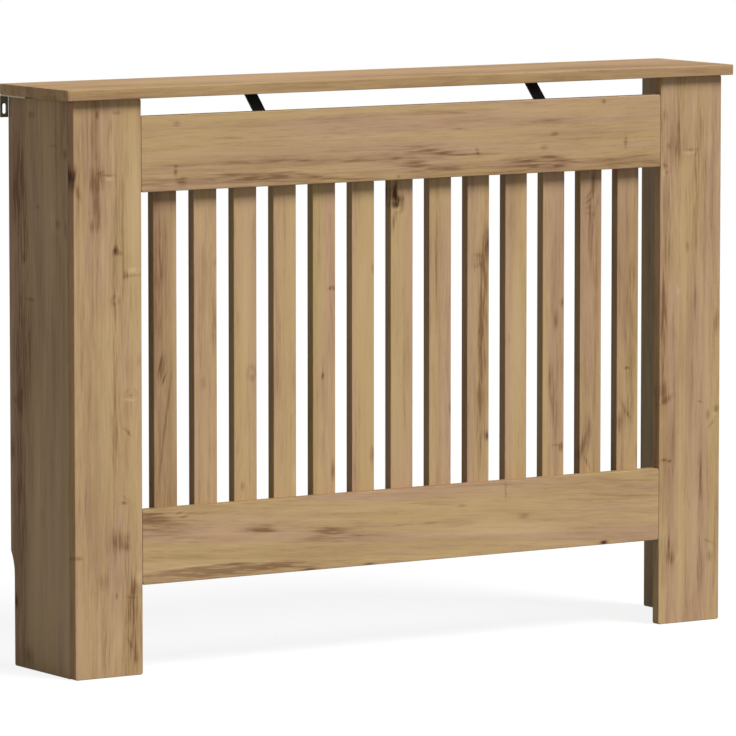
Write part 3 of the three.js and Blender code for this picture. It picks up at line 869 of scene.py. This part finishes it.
# %% Lower rail
LOWER_MARKS = [
    Mark("smear", -424, 219, 30, 12),
    Mark("shade", -405, 206, 42, 14, -8),
    Mark("line", -378, 222, 6, 1.4, 12),
    Mark("line", -370, 216, 7, 1.4, 12),
    Mark("blush", -300, 200, 180, 20),
    Mark("smear", -240, 187, 28, 4, -3),
    Mark("shade", -225, 189, 60, 7, -3),
    Mark("smear", -135, 178, 26, 6, 2),
    Mark("shade", -125, 180, 50, 10, 2),
    Mark("line", -62, 181, 22, 1.4, -3),
    Mark("smear", -8, 179, 20, 1.8, -2),
    Mark("line", 38, 178, 12, 1.2, -3),
    Mark("shade", -120, 168, 70, 6),
    Mark("line", -78, 169, 28, 1.2, -4),
    Mark("smear", 92, 199, 7, 2.6),
    Mark("smear", 200, 177, 10, 4),
    Mark("shade", 90, 177, 40, 7),
    Mark("smear", 168, 216, 2, 12),
    Mark("smear", -345, 137, 70, 6, 1),
    Mark("shade", -320, 136, 150, 10),
    Mark("veil", -290, 134, 190, 11),
    Mark("veil", -400, 205, 70, 20),
    Mark("shade", -320, 134, 130, 8),
    Mark("vein", -380, 142, 60, 1.2, 1),
    Mark("vein", -290, 143.5, 40, 1.2, 0),
    Mark("smear", -225, 136, 70, 4, -3.5),
    Mark("glow", -370, 145.5, 60, 1.2, 1),
    Mark("crack", -65, 127, 9, 2),
    Mark("crack", -165, 127, 16, 1.4),
    Mark("knot", 341, 128, 5, 2.6),
    Mark("blush", 345, 176, 80, 9),
    Mark("honey", -260, 160, 170, 10, -3),
    Mark("honey", 180, 205, 190, 16),
    Mark("lift", 190, 165, 260, 30),
    Mark("veil", 350, 175, 150, 60),
    Mark("lift", 150, 160, 180, 10),
    Mark("blush", 10, 141, 60, 6),
]
lower = oak(
    "oak lower rail", "XZ", shift=3.4, marks=LOWER_MARKS,
    warmth=-0.03, contrast=0.7, slope=0.06, edges=RAIL_EDGES,
)
dress(["lower_rail"], lower)

# %% [markdown]
# ## Slats
# The thirteen slats are cut from many planks. One decor with a random shift for each would vary
# them, but their tones and knots would be anyone's. So each has its own decor, with a tone from
# light (below 0) to dark, a warmth from honey to rose, and its own marks. Their sides are darkened
# with painted shade, as deep in the gaps, and the first slat's sides are lightened with painted
# light where the leg shades them.

# %% Slats
SLATS = [
    (0.38, 0.05, [
        Mark("smear", 425, -397, 22, 5, 6),
        Mark("crack", 430, -399, 14, 1.3, 14),
        Mark("crack", 408, -393, 9, 1.2, 20),
        Mark("shade", 560, -400, 100, 9),
        Mark("line", 345, -391, 60, 1.3, 8),
        Mark("lift", 420, -377, 200, 6),
        Mark("honey", 420, -377, 200, 7),
    ]),
    (0.0, 0.0, [
        Mark("blush", 450, -340, 210, 5),
        Mark("smear", 475, -312, 36, 3.4),
        Mark("smear", 397, -330, 9, 5),
        Mark("line", 566, -309, 5, 3),
    ]),
    (-0.10, 0.0, [
        Mark("ring", 408, -251, 8, 6),
        Mark("smear", 250, -266, 7, 3),
        Mark("blush", 560, -274, 90, 5),
        Mark("lift", 500, -262, 160, 8),
    ]),
    (-0.16, -0.18, [
        Mark("blush", 440, -208, 190, 6),
        Mark("glow", 256, -180, 16, 4),
        Mark("honey", 450, -186, 190, 6),
    ]),
    (-0.01, -0.08, [
        Mark("crack", 520.5, -118, 3, 5.5),
        Mark("smear", 397, -133, 5, 3.4),
        Mark("blush", 340, -135, 120, 9),
        Mark("smear", 265, -115, 14, 4),
    ]),
    (-0.12, 0.05, [
        Mark("smear", 280, -50, 13, 4),
        Mark("smear", 545, -48, 8, 3),
        Mark("honey", 430, -66, 190, 9),
    ]),
    (-0.17, 0.06, [
        Mark("smear", 655, -12, 24, 9),
        Mark("crack", 654, -11, 17, 4.2, 8),
        Mark("knot", 643, -8, 11, 6.5, -30),
        Mark("crack", 633, -12, 4, 6.5, 12),
        Mark("crack", 642, -2, 5, 5),
        Mark("glow", 628, -8, 3, 6),
        Mark("smear", 612, -13, 16, 3.5, 10),
        Mark("honey", 430, 4, 180, 10),
    ]),
    (-0.04, 0.02, [
        Mark("line", 555, 59, 60, 1.3),
        Mark("blush", 560, 73, 110, 9),
        Mark("honey", 380, 57, 170, 8),
        Mark("smear", 335, 82, 12, 2),
    ]),
    (0.05, 0.04, [
        Mark("knot", 566, 146.5, 12, 4.2),
        Mark("smear", 578, 145, 24, 5),
        Mark("vein", 555, 131, 2.4, 7, 14),
        Mark("vein", 541, 129, 2.4, 7, -12),
        Mark("shade", 548, 130, 18, 10),
        Mark("shade", 560, 140, 30, 8),
        Mark("smear", 460, 134, 100, 4),
        Mark("smear", 330, 133, 80, 4.5),
        Mark("shade", 400, 138, 190, 9),
        Mark("shade", 470, 142, 110, 7),
        Mark("crack", 294, 146.0, 5, 3.6),
        Mark("smear", 296, 142, 8, 6),
        Mark("blush", 450, 119, 200, 6),
    ]),
    (0.0, 0.0, [
        Mark("line", 432, 184, 6, 1.5),
        Mark("lift", 470, 196, 190, 8),
        Mark("honey", 400, 200, 200, 6),
    ]),
    (-0.12, 0.06, [
        Mark("smear", 480, 275, 6, 4.5),
        Mark("smear", 455, 265, 14, 5),
        Mark("smear", 375, 254, 32, 4.5),
        Mark("shade", 340, 262, 60, 8),
        Mark("crack", 270, 274.5, 6, 4),
        Mark("line", 273, 265, 1.6, 5),
        Mark("blush", 430, 254, 200, 9),
    ]),
    (0.10, 0.05, [
        Mark("vein", 634, 321, 1.8, 9, -38),
        Mark("vein", 625, 320, 1.8, 9, -26),
        Mark("vein", 615, 321, 1.8, 9, -8),
        Mark("vein", 606, 323, 1.8, 8, 12),
        Mark("vein", 616, 335, 11, 1.8, 16),
        Mark("vein", 640, 330, 10, 1.6, 4),
        Mark("shade", 618, 326, 30, 12),
        Mark("smear", 650, 330, 20, 5),
        Mark("smear", 575, 325, 34, 5),
        Mark("smear", 267, 312, 15, 3.6, 14),
        Mark("shade", 268, 318, 44, 12),
        Mark("smear", 288, 322, 24, 5),
        Mark("vein", 247, 319, 2.2, 7, 50),
        Mark("vein", 238, 324, 1.6, 6, 50),
        Mark("blush", 430, 318, 120, 8),
        Mark("shade", 520, 336, 90, 6),
    ]),
    (0.07, 0.03, [
        Mark("smear", 378, 390, 2.4, 5),
        Mark("vein", 322, 384, 2.2, 8, 60),
        Mark("shade", 316, 388, 20, 10),
        Mark("vein", 310, 393, 2.2, 7, 60),
        Mark("smear", 300, 378, 14, 5),
        Mark("smear", 250, 406, 16, 3),
        Mark("shade", 420, 398, 120, 8),
    ]),
]
# Painted shade darkens the slats' sides in the gaps; painted light lifts the first slat's sides,
# which the leg shades.
SLAT_SIDE_SHADE_TINT = (0.78, 0.80, 0.76, 1.0)
FIRST_SIDE_LIGHT_TINT = (1.15, 1.42, 1.42, 1.0)
SLAT_CONTRAST = 0.75
SLAT_SHIFT, SHIFT_STEP = 5.2, 0.37
for number, (tone, warmth, marks) in enumerate(SLATS, 1):
    name = f"oak slat {number:02d}"
    shift = SLAT_SHIFT + SHIFT_STEP * number
    edges = [("X", SLAT_SIDE_SHADE_TINT if number > 1 else FIRST_SIDE_LIGHT_TINT)]
    decor = oak(name, "ZX", shift, marks, tone, warmth, SLAT_CONTRAST, edges=edges)
    dress([f"slat_{number:02d}"], decor)

# %% [markdown]
# ## Metal
# The braces are powder coated black, which leaves a fine orange peel. The wall brackets are plain
# grey steel strip, with cut ends that are paler than the rolled face; that paleness is partly a
# painted highlight of the edges that catch the light. Screws and cams are zinc plated, which looks
# cloudy. Each could have its own recipe, but they differ only in a few values, so one makes them
# all: two colours, clouds between them and a fine bump.

# %% Metal finishes
FINE_GRAIN = {"Detail": 3.0, "Roughness": 0.6}
CLOUDS = {"Scale": 55.0, "Detail": 4.0}
CLOUD_STEP = (0.35, 0.65)
CLOUD_ROUGHENS, GRAIN_ROUGHENS = 0.16, 0.10
CUT_DULLS = 0.7
CUT_STEP_START = 0.6
METAL_BUMP = 0.7


def metal(name, first, second, grain_size, rough, depth, metallic, cut=None):
    """A metal or coated finish, clouded between two colours, with a fine bump and pale cut ends.

    The pale cut ends are partly a painted highlight of the edges that catch the light.
    """
    graph = Graph(bpy.data.materials.new(name))
    place = graph.node("TexCoord", output="Object")
    scaled = {"Vector": place, "Scale": grain_size, **FINE_GRAIN}
    fine = graph.node("TexNoise", None, scaled, output="Fac")
    clouds = graph.node("TexNoise", None, {"Vector": place, **CLOUDS}, output="Fac")
    colour = graph.mix(clouds.ramp(*CLOUD_STEP), first, second)
    # Pale cut ends: partly bare cut steel, partly a painted highlight of the edges that catch the
    # light.
    if cut:
        ends = faced(graph, "X", CUT_STEP_START)
        colour = graph.mix(ends, colour, cut)
        metallic = metallic * (1.0 - ends * CUT_DULLS)
    relief = {"Height": fine, "Distance": depth * MM, "Strength": METAL_BUMP}
    inputs = {
        "Base Color": colour,
        "Metallic": metallic,
        "Roughness": clouds * CLOUD_ROUGHENS + fine * GRAIN_ROUGHENS + rough,
        "Normal": graph.node("Bump", None, relief),
    }
    return graph.finish(graph.node("BsdfPrincipled", None, inputs))


def by_finish(slot_name):
    """The CAD nodes that the record paints with this material slot."""
    parts = frame["record"]["subparts"]
    return [part["node"] for part in parts if part["material_slot"] == slot_name]


black = metal(
    "black powder coat", linear(27, 31, 35), linear(38, 42, 46),
    grain_size=2600.0, rough=0.42, depth=0.06, metallic=0.0,
)
grey = metal(
    "grey steel", linear(98, 97, 86), linear(120, 118, 104),
    grain_size=1900.0, rough=0.38, depth=0.03, metallic=1.0, cut=linear(172, 160, 138),
)
zinc = metal(
    "zinc plate", linear(186, 184, 176), linear(204, 200, 186),
    grain_size=1500.0, rough=0.26, depth=0.02, metallic=1.0,
)
dress(by_finish("black_steel"), black)
dress(by_finish("grey_steel"), grey)
dress(by_finish("zinc_plate"), zinc)

# %% [markdown]
# ## Dowels
# Dowels are turned from beech. It is an even pale wood with short dark flecks, and its grain runs
# along the dowel, which is X here. The oak recipe has too much figure for it, so it gets its own.

# %% Beech dowels
BEECH_SHIFT = 7.0
BEECH_STREAKS = (20.0, 300.0)
BEECH_STEP = (0.35, 0.65)
BEECH_PALE = linear(212, 178, 138)
BEECH_TAN = linear(196, 158, 118)
BEECH_FLECK = linear(140, 98, 66)
FLECKS = (350.0, 2400.0, 1.0)
FLECK_STEP = (0.60, 0.68)
FLECK_DARKNESS = 0.7
BEECH_ROUGHNESS, FLECK_ROUGHENS = 0.55, 0.15
BEECH_RELIEF = {"Distance": 0.05 * MM, "Strength": 0.5}


def beech():
    """Pale beech with its flecks, along X."""
    graph = Graph(bpy.data.materials.new("beech wood"))
    grain = Grain(graph, "X", "Y", BEECH_SHIFT)
    tone = grain.noise(*BEECH_STREAKS)
    flecks = grain.noise(*FLECKS).ramp(*FLECK_STEP)
    colour = graph.mix(tone.ramp(*BEECH_STEP), BEECH_PALE, BEECH_TAN)
    colour = graph.mix(flecks * FLECK_DARKNESS, colour, BEECH_FLECK)
    bump = graph.node("Bump", None, {"Height": tone - flecks, **BEECH_RELIEF})
    rough = BEECH_ROUGHNESS + flecks * FLECK_ROUGHENS
    finish = {"Base Color": colour, "Roughness": rough, "Normal": bump}
    return graph.finish(graph.node("BsdfPrincipled", None, finish))


dress(by_finish("beech"), beech())

# %% [markdown]
# ## Slat screws
# Two pan-head screws hold each slat to the rails from behind. They are too many for the solids,
# which only hold their bores. A screw is a turned part, and a spin of its outline would make it,
# but would leave a fan of triangles where the cross goes. So it starts as a disc, the cross is cut
# into that, and then one ring of edges after another is pulled out, down and in along the outline.

# %% Shape of one slat screw, head up
CROSS_WIDTH = 0.55
CROSS_LENGTH = 1.7
CROSS_DEPTH = 1.2
CROSS_TAPER = 0.8
HEAD_FLAT = 2.1
HEAD_SIDES = 20
SCREW_OUTLINE = [(2.9, -0.35), (3.35, -0.9), (3.5, -1.5), (3.45, -2.0), (1.75, -2.0)]
THREAD_START = -3.2
THREAD_PITCH = 1.4
THREAD_TURNS = 15
THREAD_ROOT = 1.25
THREAD_CREST = 1.75
TIP_RADIUS = 0.15
TIP_LENGTH = 2.0
SCREW_TIP = -26.0


def screw_outline():
    """Radius and height of each ring below the flat of the head, in mm."""
    rings = list(SCREW_OUTLINE)
    for turn in range(THREAD_TURNS):
        height = THREAD_START - turn * THREAD_PITCH
        rings += [(THREAD_ROOT, height), (THREAD_CREST, height - 0.5 * THREAD_PITCH)]
    return rings + [(THREAD_ROOT, SCREW_TIP + TIP_LENGTH), (TIP_RADIUS, SCREW_TIP)]


def cut_cross(made):
    """Splits the flat of the head along the cross, then sinks the cross."""
    for axis in (Vector((1, 0, 0)), Vector((0, 1, 0))):
        for offset in (-CROSS_LENGTH, -CROSS_WIDTH, CROSS_WIDTH, CROSS_LENGTH):
            everything = made.verts[:] + made.edges[:] + made.faces[:]
            bmesh.ops.bisect_plane(made, geom=everything, plane_co=axis * offset, plane_no=axis)
    arms = []
    for face in made.faces:
        x, y = (abs(v) for v in face.calc_center_median()[:2])
        if min(x, y) < CROSS_WIDTH and max(x, y) < CROSS_LENGTH:
            arms.append(face)
    sunk = bmesh.ops.extrude_face_region(made, geom=arms)["geom"]
    bmesh.ops.delete(made, geom=arms, context="FACES_ONLY")
    floor = [item for item in sunk if isinstance(item, bmesh.types.BMVert)]
    bmesh.ops.translate(made, verts=floor, vec=(0, 0, -CROSS_DEPTH))
    bmesh.ops.scale(made, verts=floor, vec=(CROSS_TAPER, CROSS_TAPER, 1.0))


def screw_shape():
    """A bmesh of one screw in mm, its head's flat at Z 0."""
    made = bmesh.new()
    bmesh.ops.create_circle(made, cap_ends=True, segments=HEAD_SIDES, radius=HEAD_FLAT)
    cut_cross(made)
    rim = [edge for edge in made.edges if edge.is_boundary]
    radius, height = HEAD_FLAT, 0.0
    for new_radius, new_height in screw_outline():
        pulled = bmesh.ops.extrude_edge_only(made, edges=rim)["geom"]
        rim = [item for item in pulled if isinstance(item, bmesh.types.BMEdge)]
        ring = [item for item in pulled if isinstance(item, bmesh.types.BMVert)]
        factor = new_radius / radius
        bmesh.ops.scale(made, verts=ring, vec=(factor, factor, 1.0))
        bmesh.ops.translate(made, verts=ring, vec=(0, 0, new_height - height))
        radius, height = new_radius, new_height
    bmesh.ops.contextual_create(made, geom=rim)
    bmesh.ops.recalc_face_normals(made, faces=made.faces)
    return made


trial = screw_shape()
print("one slat screw:", len(trial.verts), "points and", len(trial.faces), "faces")
trial.free()

# %% Drive the slat screws
SCREW_ROWS = {"high": 705.0, "low": 195.0}
SLAT_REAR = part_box("slat_01")[1].y / MM
HEAD_HEIGHT = 2.0
SCREW_TURN = 37.0


def drive_screw(name, x, z, turn):
    """One slat screw with its head on the rear face of a slat."""
    made = screw_shape()
    place = Matrix.Translation((x, SLAT_REAR + HEAD_HEIGHT, z))
    tip_forward = Matrix.Rotation(math.radians(-90.0), 4, "X")
    turned = Matrix.Rotation(math.radians(turn), 4, "Z")
    into_slat = Matrix.Scale(MM, 4) @ place @ tip_forward @ turned
    bmesh.ops.transform(made, matrix=into_slat, verts=made.verts)
    mesh = bpy.data.meshes.new(name)
    made.to_mesh(mesh)
    made.free()
    mesh.materials.append(zinc)
    piece = bpy.data.objects.new(name, mesh)
    bpy.context.scene.collection.objects.link(piece)
    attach(piece, "root")
    return piece


screws = []
for number in range(1, len(SLATS) + 1):
    low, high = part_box(f"slat_{number:02d}")
    middle = (low.x + high.x) / 2 / MM
    for row, z in SCREW_ROWS.items():
        name = f"slat_screw_{number:02d}_{row}"
        screws.append(drive_screw(name, middle, z, len(screws) * SCREW_TURN))
print(len(screws), "slat screws of", len(screws[0].data.polygons), "faces")

# %% [markdown]
# ## Size
# A finish or a small screw must not make the cover bigger than its solids say. The box of the
# solids is printed at the start, before the dressing.
